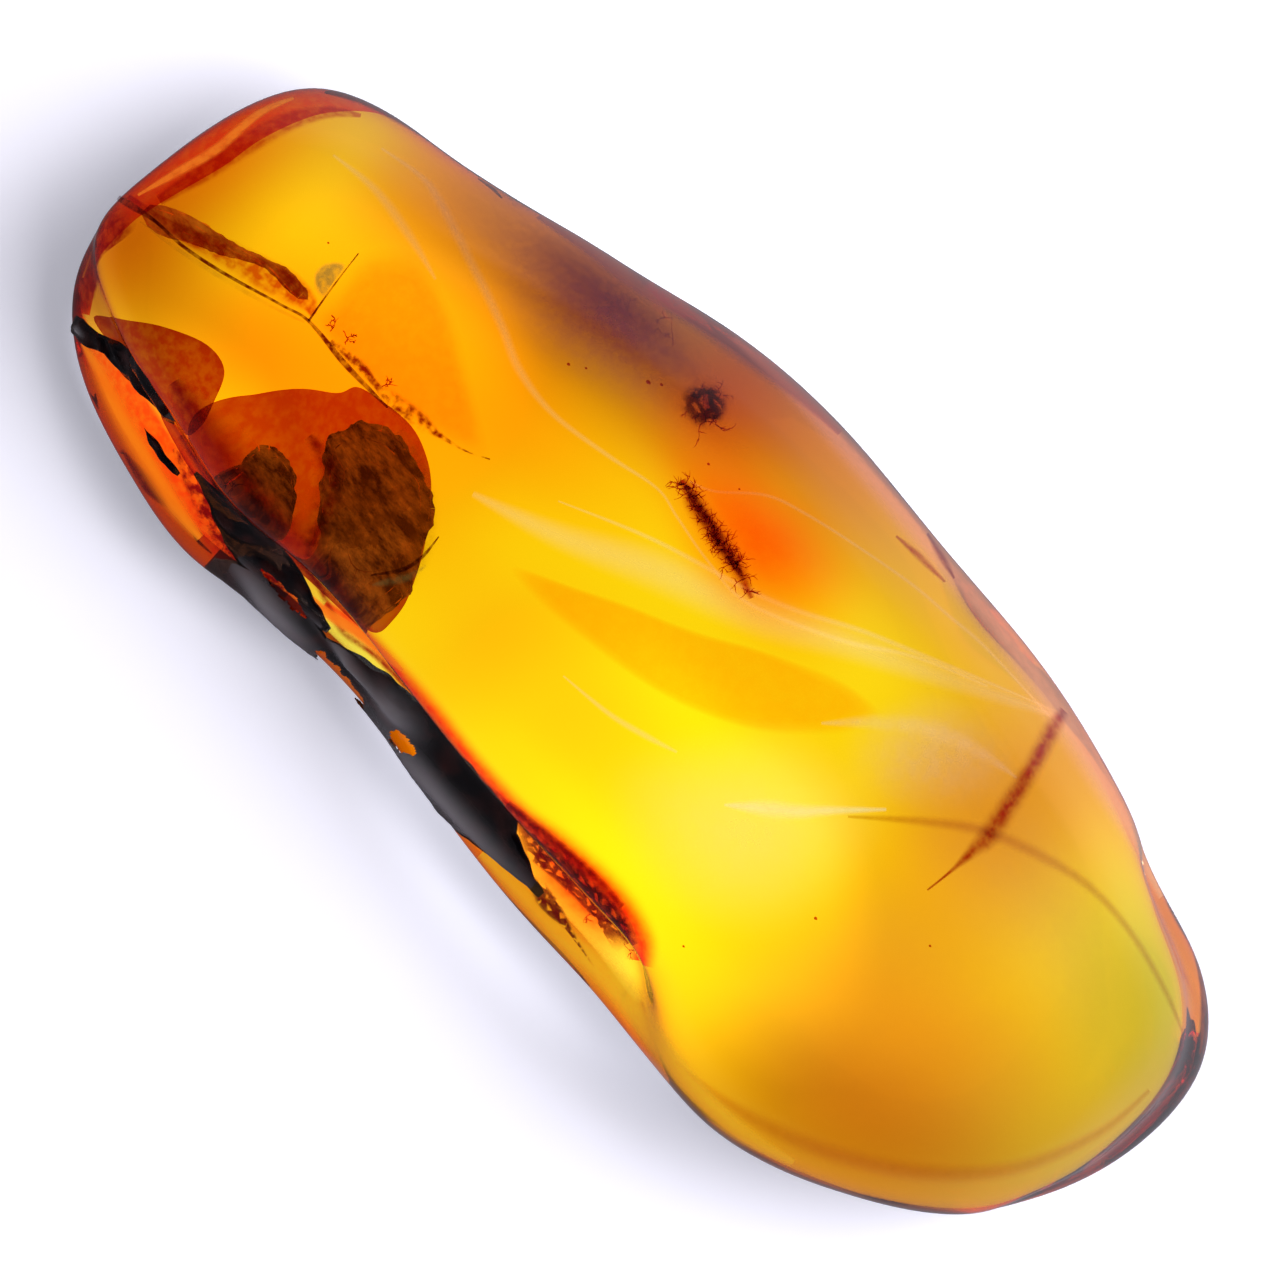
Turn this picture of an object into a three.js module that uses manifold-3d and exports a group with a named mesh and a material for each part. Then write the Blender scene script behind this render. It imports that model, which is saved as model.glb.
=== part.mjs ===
// Polished amber: one long, flattened nugget of clear resin lying on its flatter side, with two
// flakes of bark and a shred of plant sealed in it. Along one flank runs a recess that the
// polishing didn't reach. Millimetres, +Z up. The origin is on the surface that the stone rests on,
// under the middle of its box. +X runs from the blunt end to the tapered end, and -Y is the flank
// with the recess.

import * as THREE from "three";
import { ParametricGeometry } from "three/addons/geometries/ParametricGeometry.js";
import { mergeVertices } from "three/addons/utils/BufferGeometryUtils.js";
import Module from "manifold-3d";

const wasm = await Module();
wasm.setup();

// The outline seen from above, from the tip of the blunt end along the recessed flank to the tip of
// the tapered end, and back along the smooth flank.
const BLUNT_TIP = [-34.7, -3.0];
const RECESSED_EDGE = [
  [-33.8, -9.4], [-30.2, -12.5], [-24.5, -13.9], [-19.5, -14.3], [-14.2, -13.4], [-7.5, -13.3],
  [0, -13.9], [7, -14.2], [14.5, -14.0], [20, -13.7], [25, -12.1], [29.6, -8.9], [33.3, -4.0],
];
const TAPERED_TIP = [34.8, 1.7];
const SMOOTH_EDGE = [
  [33.7, 6.7], [30.4, 9.6], [26, 11.0], [20, 12.6], [13, 13.8], [5, 14.2], [-3, 14.1],
  [-10, 13.4], [-16, 11.6], [-21, 9.9], [-25, 8.9], [-29, 8.0], [-32.4, 5.8],
];

// The stone's heights. Its widest level is nearer the surface it rests on than its crest.
const WAIST_Z = 6.2;
const CREST_HEIGHTS = [15.2, 15.6, 16.3, 16.9, 17.1, 16.8, 15.7, 14.2]; // evenly from tip to tip
const BELLY = 6.9; // from the widest level down, before the flat is ground
const BLUNT_REACH = 7; // how soon the blunt end comes to its full height
const TAPER_REACH = 13; // the same at the tapered end
const FULLNESS = 0.03; // how far the cross-section is squared off
const CREST_LEAN = 2.2; // how far the crest leans towards the recessed flank

// Hollows that the polishing left, each along a line near the surface.
const HOLLOWS = [
  { name: "flank recess", radius: 3.5, depth: 3.3,
    line: [[-31.5, -10.9, 10.8], [-28.5, -11.8, 11.2], [-23, -12.7, 11.6], [-17, -12.6, 11.0],
      [-9, -11.9, 10.6], [-1, -12.3, 10.8], [5, -12.9, 11.2], [9.5, -13.2, 11]] },
  { name: "tapered end step", radius: 2.0, depth: 0.9,
    line: [[25.5, 11.2, 7.6], [28.5, 10.3, 8], [32, 8, 8], [34.2, 4.4, 8], [34.4, 0, 8], [33, -4, 8]] },
];

// Broad waves left by hand polishing: height, length along X, length along Y, start.
const WAVES = [
  [0.22, 31, 60, 0.4],
  [0.14, 19, 23, 2.1],
  [0.09, 12.5, 15, 4.0],
];

const STATIONS = 64;
const RING = 46;
const RING_BIAS = 0.22; // draws the ring's points towards the sides, where the surface bends most

// The level at which the stone is parted round what is sealed in it, and the room round each piece.
const PART_Z = 10;
const FIT_GAP = 0.35;

const LARGE_FLAKE = {
  thickness: 2.1,
  centre: [-14.2, -5.6],
  outline: [
    [-18.5, -5], [-17.9, -3.3], [-15.8, -2.5], [-13.8, -2.6], [-12.2, -3.7], [-10.3, -6.2],
    [-10.2, -8], [-11.6, -8.9], [-13.8, -8.4], [-16.1, -6.9],
  ],
};
const SMALL_FLAKE = {
  thickness: 1.5,
  centre: [-18.4, -8.3],
  outline: [
    [-20.4, -8.9], [-20.2, -7.3], [-18.6, -7.0], [-17.2, -7.9], [-16.2, -9], [-17.2, -9.6], [-19, -9.6],
  ],
};
const SHRED = {
  width: 1.5,
  thickness: 0.5,
  turns: 0.35,
  path: [[-32, -4.4, 10], [-30.6, -3.5, 10.2], [-28.6, -2.7, 9.9], [-26.6, -1.8, 10.1], [-24.2, -1.6, 10]],
};

const amberMaterial = new THREE.MeshStandardMaterial({
  name: "amber", color: 0xf0a010, roughness: 0.05, metalness: 0, transparent: true, opacity: 0.6,
});
const barkMaterial = new THREE.MeshStandardMaterial({
  name: "bark", color: 0x3a1a08, roughness: 0.8, metalness: 0,
});
const plantMaterial = new THREE.MeshStandardMaterial({
  name: "plant", color: 0x9a4a10, roughness: 0.7, metalness: 0,
});

// A manifold-3d solid from a three.js geometry, with its seam and poles closed.
function solidOf(geometry) {
  geometry.deleteAttribute("normal");
  geometry.deleteAttribute("uv");
  const merged = mergeVertices(geometry, 1e-4);
  const corners = merged.index.array;
  const kept = [];
  for (let i = 0; i < corners.length; i += 3) {
    const [a, b, c] = corners.slice(i, i + 3);
    if (a !== b && b !== c && c !== a) kept.push(a, b, c);
  }
  return new wasm.Manifold(
    new wasm.Mesh({
      numProp: 3,
      vertProperties: merged.attributes.position.array,
      triVerts: new Uint32Array(kept),
    }),
  );
}

// A named three.js mesh from a manifold-3d solid.
function meshOf(name, solid, material) {
  const made = solid.getMesh();
  const geometry = new THREE.BufferGeometry();
  geometry.setAttribute("position", new THREE.BufferAttribute(made.vertProperties, 3));
  geometry.setIndex(new THREE.BufferAttribute(made.triVerts, 1));
  geometry.computeVertexNormals();
  const mesh = new THREE.Mesh(geometry, material);
  mesh.name = name;
  return mesh;
}

// A box from one level to another, wide enough to cut the stone right across.
function slab(lowZ, highZ) {
  const side = 100;
  const box = new THREE.BoxGeometry(side, side, highZ - lowZ);
  box.translate(0, 0, (lowZ + highZ) / 2);
  return solidOf(box);
}

// The stone

const outlinePoints = [BLUNT_TIP, ...RECESSED_EDGE, TAPERED_TIP, ...SMOOTH_EDGE];
const outline = new THREE.CatmullRomCurve3(
  outlinePoints.map(([x, y]) => new THREE.Vector3(x, y, WAIST_Z)),
  true,
  "centripetal",
);
const STEPS_PER_POINT = 40;
outline.arcLengthDivisions = outlinePoints.length * STEPS_PER_POINT;
const lengths = outline.getLengths();
const outlineLength = lengths[lengths.length - 1];
const tipShare = lengths[(RECESSED_EDGE.length + 1) * STEPS_PER_POINT] / outlineLength;

// A height that grows evenly from a tip and levels off after reach.
function rise(distance, reach) {
  const t = distance / reach;
  return t / Math.cbrt(1 + t ** 3);
}

const crest = new THREE.SplineCurve(CREST_HEIGHTS.map((height, i) => new THREE.Vector2(i, height)));

// The points on both edges at one share of the way between the tips, and the heights there.
function stationAt(share) {
  const edge = tipShare * outlineLength;
  return {
    recessed: outline.getPointAt(tipShare * share),
    smooth: outline.getPointAt(1 - (1 - tipShare) * share),
    swell: rise(edge * share, BLUNT_REACH) * rise(edge * (1 - share), TAPER_REACH),
    crown: crest.getPoint(share).y - WAIST_Z,
  };
}

// The line inside the stone that hollows and waves push its surface towards or away from.
const spine = new THREE.Line3(new THREE.Vector3(-22, -2.4, 8), new THREE.Vector3(21, -0.6, 7.5));

const hollows = HOLLOWS.map((hollow) => ({
  ...hollow,
  points: new THREE.CatmullRomCurve3(hollow.line.map((p) => new THREE.Vector3(...p))).getPoints(40),
}));

function hollowDepth(point) {
  let depth = 0;
  for (const hollow of hollows) {
    const nearest = Math.min(...hollow.points.map((p) => p.distanceTo(point)));
    depth += hollow.depth * Math.exp(-((nearest / hollow.radius) ** 2));
  }
  return depth;
}

function waveHeight(point) {
  let height = 0;
  for (const [amount, lengthX, lengthY, start] of WAVES) {
    const phase = (point.x / lengthX + point.y / lengthY) * 2 * Math.PI + start;
    height += amount * Math.sin(phase) * Math.cos(point.z / 9 + start);
  }
  return height;
}

// One point of the surface: share goes from tip to tip and turn goes once round the cross-section.
function stoneSurface(share, turn, target) {
  const { recessed, smooth, swell, crown } = stationAt(share);
  const even = -turn * 2 * Math.PI;
  const angle = even - RING_BIAS * Math.sin(2 * even);
  const full = (1 - FULLNESS * Math.cos(4 * angle)) / (1 - FULLNESS);
  const across = full * Math.cos(angle);
  const up = full * Math.sin(angle);
  target.lerpVectors(recessed, smooth, 0.5 + across / 2);
  target.z = WAIST_Z + up * swell * (up > 0 ? crown : BELLY);
  target.y -= up > 0 ? CREST_LEAN * swell * up ** 2 : 0;
  const inner = spine.closestPointToPoint(target, true, new THREE.Vector3());
  const outward = target.clone().sub(inner).normalize();
  target.addScaledVector(outward, waveHeight(target) - hollowDepth(target));
}

function stone() {
  return solidOf(new ParametricGeometry(stoneSurface, STATIONS, RING)).subtract(slab(-10, 0));
}

// What is sealed in it

// A bark flake: its outline lies level and its faces are domed. grow makes its pocket.
function flake({ outline: points, centre, thickness }, grow = 0) {
  const rim = new THREE.CatmullRomCurve3(points.map(([x, y]) => new THREE.Vector3(x, y, 0)), true);
  const middle = new THREE.Vector3(...centre, 0);
  const surface = (around, rising, target) => {
    const tilt = (rising - 0.5) * Math.PI;
    const spoke = rim.getPoint(1 - around).sub(middle);
    spoke.setLength(spoke.length() + grow);
    target.copy(middle).addScaledVector(spoke, Math.cos(tilt) ** 0.6);
    target.z = PART_Z + (thickness / 2 + grow) * Math.sign(tilt) * Math.abs(Math.sin(tilt)) ** 0.8;
  };
  return solidOf(new ParametricGeometry(surface, 26, 8));
}

// The plant shred: a flat band that twists along its path. grow makes its pocket.
function shred({ path, width, thickness, turns }, grow = 0) {
  const line = new THREE.CatmullRomCurve3(path.map((p) => new THREE.Vector3(...p)));
  const stretch = 1 + (2 * grow) / line.getLength();
  const surface = (along, round, target) => {
    const share = 0.5 + (along - 0.5) * stretch;
    const held = Math.min(Math.max(share, 0), 1);
    const heading = line.getTangent(held);
    const side = new THREE.Vector3(-heading.y, heading.x, 0).normalize();
    const up = new THREE.Vector3().crossVectors(heading, side);
    const twist = held * turns * 2 * Math.PI;
    const angle = -round * 2 * Math.PI;
    const end = Math.sqrt(Math.max(0, 1 - Math.abs(2 * along - 1) ** 4));
    const flat = (width / 2 + grow) * end * Math.cos(angle);
    const deep = (thickness / 2 + grow) * end * Math.sin(angle);
    target.copy(line.getPoint(held));
    target.addScaledVector(heading, (share - held) * line.getLength());
    target.addScaledVector(side, flat * Math.cos(twist) - deep * Math.sin(twist));
    target.addScaledVector(up, flat * Math.sin(twist) + deep * Math.cos(twist));
  };
  return solidOf(new ParametricGeometry(surface, 22, 8));
}

// The whole

const pockets = flake(LARGE_FLAKE, FIT_GAP).add(flake(SMALL_FLAKE, FIT_GAP)).add(shred(SHRED, FIT_GAP));
const amber = stone().subtract(pockets);

const root = new THREE.Group();
root.name = "polished_amber";
root.add(meshOf("amber_upper", amber.intersect(slab(PART_Z, 30)), amberMaterial));
root.add(meshOf("amber_lower", amber.intersect(slab(-1, PART_Z)), amberMaterial));
root.add(meshOf("bark_flake_large", flake(LARGE_FLAKE), barkMaterial));
root.add(meshOf("bark_flake_small", flake(SMALL_FLAKE), barkMaterial));
root.add(meshOf("plant_shred", shred(SHRED), plantMaterial));

export default root;
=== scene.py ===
"""Polished amber seen from straight above on a white table, in metres, +Z up."""

import math
import random

import bmesh
import bpy
import numpy as np
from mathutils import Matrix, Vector
from mathutils.bvhtree import BVHTree
from mathutils import noise


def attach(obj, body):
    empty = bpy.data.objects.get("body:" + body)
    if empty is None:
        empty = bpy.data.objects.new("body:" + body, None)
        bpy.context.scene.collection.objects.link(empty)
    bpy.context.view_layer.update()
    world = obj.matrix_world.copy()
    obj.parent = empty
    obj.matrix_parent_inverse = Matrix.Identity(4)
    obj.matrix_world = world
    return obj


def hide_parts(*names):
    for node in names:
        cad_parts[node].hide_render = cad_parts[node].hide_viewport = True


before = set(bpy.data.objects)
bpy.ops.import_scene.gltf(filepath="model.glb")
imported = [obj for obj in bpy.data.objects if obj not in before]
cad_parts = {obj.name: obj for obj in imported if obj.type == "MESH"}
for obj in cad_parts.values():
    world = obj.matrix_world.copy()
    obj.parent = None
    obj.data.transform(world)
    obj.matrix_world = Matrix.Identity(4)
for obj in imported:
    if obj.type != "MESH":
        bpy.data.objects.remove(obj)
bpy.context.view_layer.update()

MM = 0.001
HALVES = ("amber_upper", "amber_lower")


def srgb(red, green, blue):
    """A linear colour from sRGB values between 0 and 255."""
    def linear(value):
        share = value / 255
        return share / 12.92 if share <= 0.04045 else ((share + 0.055) / 1.055) ** 2.4
    return (linear(red), linear(green), linear(blue), 1.0)


def set_inputs(tree, node, inputs):
    """Gives inputs of a shader node, by name or number, a value each or a link from a socket."""
    for name, value in inputs.items():
        if isinstance(value, bpy.types.NodeSocket):
            tree.links.new(value, node.inputs[name])
        else:
            node.inputs[name].default_value = value


def add_node(tree, kind, inputs, **settings):
    """A new shader node with its settings, such as its operation, and its inputs."""
    node = tree.nodes.new("ShaderNode" + kind)
    for name, value in settings.items():
        setattr(node, name, value)
    set_inputs(tree, node, inputs)
    return node


def place_socket(tree):
    """Where a point lies, in the object's own metres."""
    return add_node(tree, "TexCoord", {}).outputs["Object"]


def map_range(tree, value, source, target=(0, 1), interpolation="LINEAR"):
    """Runs between the two values of target while the given one runs between those of source."""
    ends = dict(zip(("From Min", "From Max", "To Min", "To Max"), (*source, *target)))
    node = add_node(tree, "MapRange", {"Value": value, **ends}, interpolation_type=interpolation)
    return node.outputs["Result"]


def multiplied(tree, first, second):
    return add_node(tree, "Math", {0: first, 1: second}, operation="MULTIPLY").outputs[0]


def colour_ramp(tree, value, stops):
    """The colour that a value picks from two or more stops, each a position and a linear colour."""
    ramp = add_node(tree, "ValToRGB", {"Fac": value})
    elements = ramp.color_ramp.elements
    elements[0].position, elements[0].color = stops[0]
    elements[1].position, elements[1].color = stops[-1]
    for position, colour in stops[1:-1]:
        elements.new(position).color = colour
    return ramp.outputs["Color"]


def new_material(name):
    """A material, its node tree and its shader."""
    material = bpy.data.materials.new(name)
    material.use_nodes = True
    tree = material.node_tree
    return material, tree, tree.nodes["Principled BSDF"]


def valued_mesh(name, points, faces, layer, values):
    """A smooth mesh with one value for each point."""
    mesh = bpy.data.meshes.new(name)
    mesh.from_pydata(points, [], faces)
    mesh.attributes.new(layer, "FLOAT", "POINT").data.foreach_set("value", values)
    mesh.polygons.foreach_set("use_smooth", [True] * len(mesh.polygons))
    return mesh


def add_piece(name, mesh, replaced=()):
    """Adds an object that belongs to the stone, in place of the CAD nodes that it replaces."""
    piece = bpy.data.objects.new(name, mesh)
    bpy.context.collection.objects.link(piece)
    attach(piece, "root")
    if replaced:
        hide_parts(*replaced)
    return piece


# Camera and light

LOOK_AT = Vector((-1.01, -0.32, 6.2)) * MM
FRAME_WIDTH = 64 * MM
LENS = 150
SENSOR = 36
CAMERA_TURN = math.radians(48)
WINDOW_BEARING = 45

# The room: its colours from the level up to overhead, and how its light falls off away from the window.
ROOM_COLOURS = [(0.0, (0.9, 0.84, 0.95, 1)), (0.3, (0.22, 0.2, 0.24, 1)), (0.8, (0.01, 0.01, 0.015, 1))]
ROOM_SIDES = (-0.3, 0.9)
ROOM_LIGHT = 0.85
ROOM_DUSK = 0.08 * ROOM_LIGHT

# Soft panels: bearing and elevation in degrees, distance and size in metres, watts, and whether they are
# seen through the stone.
PANELS = {
    "window": (WINDOW_BEARING, 60, 0.5, (0.28, 0.28), 2.6, False),
    "card_near": (-125, 15, 0.3, (0.5, 0.25), 0.4, True),
    "card_far": (60, 15, 0.3, (0.5, 0.25), 0.35, True),
    "card_above": (0, 90, 0.5, (0.5, 0.5), 0.35, True),
}

TABLE_REACH = 1.5
TABLE_GAP = 0.05 * MM
TABLE_GLOW = 0.31

# Painted pools of light on the table, where the stone gathers light: centre and radii in mm, how much
# brighter.
PAINTED_LIGHT_POOLS = [
    ((0, 1.5), (37, 16.5), 0.95),
    ((-24, -1), (12.5, 10.5), 0.5),
    ((-25, -9.5), (9, 4.5), 0.5),
    ((7, -5), (14, 7), 0.4),
    ((6, -12), (18, 7), 0.25),
]
# The painted light fades in between these shares of its radii.
GATHERED_EDGE = (1.0, 0.6)


def add_camera():
    data = bpy.data.cameras.new("camera")
    data.lens = LENS
    data.sensor_width = SENSOR
    data.clip_start = 0.01
    data.clip_end = 10
    camera = bpy.data.objects.new("camera", data)
    camera.location = LOOK_AT + Vector((0, 0, FRAME_WIDTH * LENS / SENSOR))
    camera.rotation_euler = (0, 0, CAMERA_TURN)
    bpy.context.collection.objects.link(camera)
    bpy.context.scene.camera = camera


def add_panel(name, bearing, elevation, distance, size, watts, seen_through):
    """A soft panel light that no polished face mirrors, and that may be seen through the stone."""
    data = bpy.data.lights.new(name, "AREA")
    data.shape = "RECTANGLE"
    data.size, data.size_y = size
    data.energy = watts
    panel = bpy.data.objects.new(name, data)
    turn, rise = math.radians(bearing), math.radians(elevation)
    away = Vector((math.cos(turn) * math.cos(rise), math.sin(turn) * math.cos(rise), math.sin(rise)))
    panel.location = away * distance
    panel.rotation_euler = away.to_track_quat("Z", "Y").to_euler()
    panel.visible_camera = False
    panel.visible_glossy = False
    panel.visible_transmission = seen_through
    bpy.context.collection.objects.link(panel)


def add_world():
    """A room that is pale low down on the window's side and dark overhead."""
    world = bpy.data.worlds.new("room")
    world.use_nodes = True
    tree = world.node_tree
    heading = add_node(tree, "TexCoord", {}).outputs["Generated"]
    height = add_node(tree, "SeparateXYZ", {0: heading}).outputs["Z"]
    turn = math.radians(WINDOW_BEARING)
    window = (math.cos(turn), math.sin(turn), 0)
    toward = add_node(tree, "VectorMath", {0: heading, 1: window}, operation="DOT_PRODUCT")
    set_inputs(tree, tree.nodes["Background"], {
        "Color": colour_ramp(tree, height, ROOM_COLOURS),
        "Strength": map_range(tree, toward.outputs["Value"], ROOM_SIDES, (ROOM_DUSK, ROOM_LIGHT)),
    })
    bpy.context.scene.world = world


def table_glow(tree):
    """How brightly each place of the table glows, with pools of light painted where the stone gathers it.
    """
    place = place_socket(tree)
    total = TABLE_GLOW
    for (x, y), (wide, deep), more in PAINTED_LIGHT_POOLS:
        spot = add_node(tree, "Mapping", {
            "Vector": place,
            "Location": (-x / wide, -y / deep, 0),
            "Scale": (1 / (wide * MM), 1 / (deep * MM), 0),
        })
        radius = add_node(tree, "VectorMath", {0: spot.outputs[0]}, operation="LENGTH")
        glow = map_range(tree, radius.outputs["Value"], GATHERED_EDGE, (0, more), "SMOOTHSTEP")
        total = add_node(tree, "Math", {0: glow, 1: total}, operation="ADD").outputs[0]
    return total


def add_floor():
    mesh = bpy.data.meshes.new("table")
    corners = [(x * TABLE_REACH, y * TABLE_REACH, 0) for x, y in ((-1, -1), (1, -1), (1, 1), (-1, 1))]
    mesh.from_pydata(corners, [], [(0, 1, 2, 3)])
    table = bpy.data.objects.new("table", mesh)
    table.location.z = -TABLE_GAP
    table.visible_glossy = False
    bpy.context.collection.objects.link(table)
    material, tree, shader = new_material("table_white")
    set_inputs(tree, shader, {
        "Base Color": (0.79, 0.77, 0.86, 1),
        "Roughness": 0.9,
        "Specular IOR Level": 0.0,
        "Emission Color": (0.86, 0.86, 1.0, 1),
        "Emission Strength": table_glow(tree),
    })
    mesh.materials.append(material)


# The amber's surface, from the frame's two halves

GRID = (240, 96, 72)
SPINE_FROM = Vector((-22, -2.4, 7.7)) * MM
SPINE_TO = Vector((21, -0.6, 7.4)) * MM
REACH = Vector((35, 15, 9)) * MM
SMOOTHINGS = 60
SMOOTHING_ROUNDS = 3
OUTSIDE = 60 * MM


def halves_tree():
    points, faces = [], []
    for name in HALVES:
        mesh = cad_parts[name].data
        start = len(points)
        points.extend(v.co.copy() for v in mesh.vertices)
        faces.extend([start + i for i in polygon.vertices] for polygon in mesh.polygons)
    return BVHTree.FromPolygons(points, faces)


def box_grid(counts):
    """The corners and faces of a box surface cut into counts cells along X, Y and Z."""
    index, corners, faces = {}, [], []

    def corner(*cell):
        if cell not in index:
            index[cell] = len(corners)
            corners.append(cell)
        return index[cell]

    for axis in range(3):
        across, up = (axis + 1) % 3, (axis + 2) % 3
        for side in (0, counts[axis]):
            for i in range(counts[across]):
                for j in range(counts[up]):
                    cells = []
                    for a, b in ((i, j), (i + 1, j), (i + 1, j + 1), (i, j + 1)):
                        cell = [0, 0, 0]
                        cell[axis], cell[across], cell[up] = side, a, b
                        cells.append(corner(*cell))
                    faces.append(cells if side else cells[::-1])
    return corners, faces


def surface_point(tree, cell):
    """Where the ray that comes in towards the stone's spine along one grid line meets the halves."""
    cube = [math.tan((2 * c / n - 1) * math.pi / 4) for c, n in zip(cell, GRID)]
    ball = Vector(cube).normalized()
    along = min(max((ball.x * REACH.x - SPINE_FROM.x) / (SPINE_TO.x - SPINE_FROM.x), 0), 1)
    inner = SPINE_FROM.lerp(SPINE_TO, along)
    outer = Vector((ball.x * REACH.x, ball.y * REACH.y, SPINE_FROM.z + ball.z * REACH.z))
    heading = (outer - inner).normalized()
    start = inner + heading * OUTSIDE
    place, _, _, _ = tree.ray_cast(start, -heading)
    return place


def smoothed(points, edges):
    """Takes the facets out of the points and keeps their broader form."""
    first, second = edges[:, 0], edges[:, 1]
    count = len(points)
    weight = np.bincount(first, minlength=count) + np.bincount(second, minlength=count)

    def relaxed(values):
        for _ in range(SMOOTHINGS):
            mean = np.empty_like(values)
            for axis in range(3):
                mean[:, axis] = np.bincount(first, values[second, axis], count)
                mean[:, axis] += np.bincount(second, values[first, axis], count)
            values = (values + mean / weight[:, None]) / 2
        return values

    result = relaxed(points)
    for _ in range(SMOOTHING_ROUNDS - 1):
        result = result + relaxed(points - result)
    return result


def amber_mesh():
    tree = halves_tree()
    cells, faces = box_grid(GRID)
    points = np.array([surface_point(tree, cell) for cell in cells])
    mesh = bpy.data.meshes.new("amber")
    mesh.from_pydata(points.tolist(), [], faces)
    edges = np.array([e.vertices[:] for e in mesh.edges])
    points = smoothed(points, edges)
    points[:, 2] = np.maximum(points[:, 2], 0)
    mesh.vertices.foreach_set("co", points.astype(np.float32).ravel())
    mesh.polygons.foreach_set("use_smooth", [True] * len(mesh.polygons))
    mesh.update()
    return mesh


RESIN_IOR = 1.54
RESIN_COLOUR = (0.997, 0.94, 0.15, 1)
RESIN_DENSITY = 420

# Tints of the resin, seen from above: centre and radii in mm, turn in degrees, the colour that
# passes as sRGB from 0 to 255, and how soft the edge is.
TINTS = [
    ((-19.5, 0), (9.5, 10), 0, (255, 205, 150), 0.7),
    ((-20, -4), (9, 5), 0, (250, 205, 150), 0.9),
    ((-33, -1), (4.4, 9.5), 0, (228, 130, 110), 0.8),
    ((-26.5, -6), (4.5, 3), 0, (250, 222, 255), 0.8),
    ((-3, -5), (8, 4), 0, (255, 226, 255), 0.9),
    ((4, 12.2), (13, 4), 0, (242, 215, 240), 0.9),
    ((-24, -12), (12, 2.6), 4, (255, 140, 50), 0.6),
    ((5, -12), (7, 2.2), 2, (255, 185, 90), 0.8),
    ((-24.5, 6.8), (7.5, 4.6), 12, (188, 142, 165), 0.9),
    ((-14, 9.9), (10.5, 5.2), 8, (155, 82, 105), 0.9),
    ((-16.5, 8.0), (10, 4.2), 0, (205, 180, 225), 0.8),
    ((18, 7), (5, 9), -12, (245, 205, 235), 0.9),
    ((23, 0), (12, 8), 0, (255, 236, 255), 0.9),
    ((33, 2), (3, 9), 0, (235, 215, 255), 0.9),
    ((-4, 12.4), (9, 3.6), -4, (190, 140, 150), 0.9),
    ((-7.2, 9.4), (4.6, 4.0), 6, (238, 135, 100), 0.9),
    ((-12, 3), (8, 4.5), 10, (255, 215, 170), 0.9),
    ((-1.5, 7.0), (6.5, 3.2), -12, (255, 180, 120), 0.9),
    ((8, 12.0), (12, 4.0), -2, (228, 192, 195), 0.9),
    ((22, -5), (9, 6), 10, (250, 200, 190), 0.9),
    ((23, -9), (10, 4), 20, (245, 200, 160), 0.9),
    ((28, 6.5), (6, 4), -35, (230, 240, 200), 0.9),
    ((14.7, 6.8), (5, 4), 20, (238, 215, 225), 0.9),
    ((-32, -7), (5, 4), 0, (236, 182, 150), 0.9),
]

# Shade painted on the steep faces near the rim: the colour that passes them, from the blunt end to the
# tapered end, at X in mm.
PAINTED_RIM_SHADES = [
    (-34, (165, 50, 10)),
    (-27, (240, 120, 20)),
    (-12, (240, 190, 150)),
    (8, (252, 215, 150)),
    (22, (250, 200, 70)),
    (31, (235, 190, 90)),
    (35, (130, 95, 85)),
]
RIM_STEEP = 0.12
RIM_LEVEL = 0.75


def soft_step(values, low, high):
    share = np.clip((values - low) / (high - low), 0, 1)
    return share * share * (3 - 2 * share)


def tint_colours(points, normals):
    """The colour that passes through the surface at each point in mm, with shade painted near the rim."""
    colours = np.ones((len(points), 3))
    for (x, y), (wide, deep), turn, colour, softness in TINTS:
        angle = math.radians(turn)
        east = points[:, 0] - x
        north = points[:, 1] - y
        along = (east * math.cos(angle) + north * math.sin(angle)) / wide
        across = (north * math.cos(angle) - east * math.sin(angle)) / deep
        spot = 1 - soft_step(np.hypot(along, across), 1 - softness, 1 + softness / 2)
        colours *= 1 + (np.array(srgb(*colour)[:3]) - 1) * spot[:, None]
    # Light crosses a rim face once and a flat face twice, so the rim's colour counts double.
    stops = np.array([x for x, _ in PAINTED_RIM_SHADES])
    shades = np.array([srgb(*colour)[:3] for _, colour in PAINTED_RIM_SHADES]) ** 2
    rim_shade = np.stack([np.interp(points[:, 0], stops, shades[:, k]) for k in range(3)], axis=1)
    steep = 1 - soft_step(np.abs(normals[:, 2]), RIM_STEEP, RIM_LEVEL)
    return colours * (1 + (rim_shade - 1) * steep[:, None])


def amber_material():
    material, tree, shader = new_material("amber")
    # The tint attribute holds the resin's tints and the shade painted on the steep faces near the rim.
    tint_and_rim_shade = add_node(tree, "Attribute", {}, attribute_name="tint_and_rim_shade")
    volume = add_node(tree, "VolumeAbsorption", {"Color": RESIN_COLOUR, "Density": RESIN_DENSITY})
    set_inputs(tree, tree.nodes["Material Output"], {"Volume": volume.outputs[0]})
    set_inputs(tree, shader, {
        "Transmission Weight": 1,
        "Roughness": 0.0,
        "IOR": RESIN_IOR,
        "Base Color": tint_and_rim_shade.outputs["Color"],
    })
    return material


def add_amber():
    mesh = amber_mesh()
    points = np.array([v.co[:] for v in mesh.vertices]) / MM
    normals = np.array([v.normal[:] for v in mesh.vertices])
    colours = np.ones((len(points), 4), np.float32)
    colours[:, :3] = tint_colours(points, normals)
    attribute = mesh.attributes.new("tint_and_rim_shade", "FLOAT_COLOR", "POINT")
    attribute.data.foreach_set("color", colours.ravel())
    mesh.materials.append(amber_material())
    add_piece("amber", mesh, HALVES)
    return BVHTree.FromPolygons([v.co.copy() for v in mesh.vertices],
                                [polygon.vertices[:] for polygon in mesh.polygons])


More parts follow.
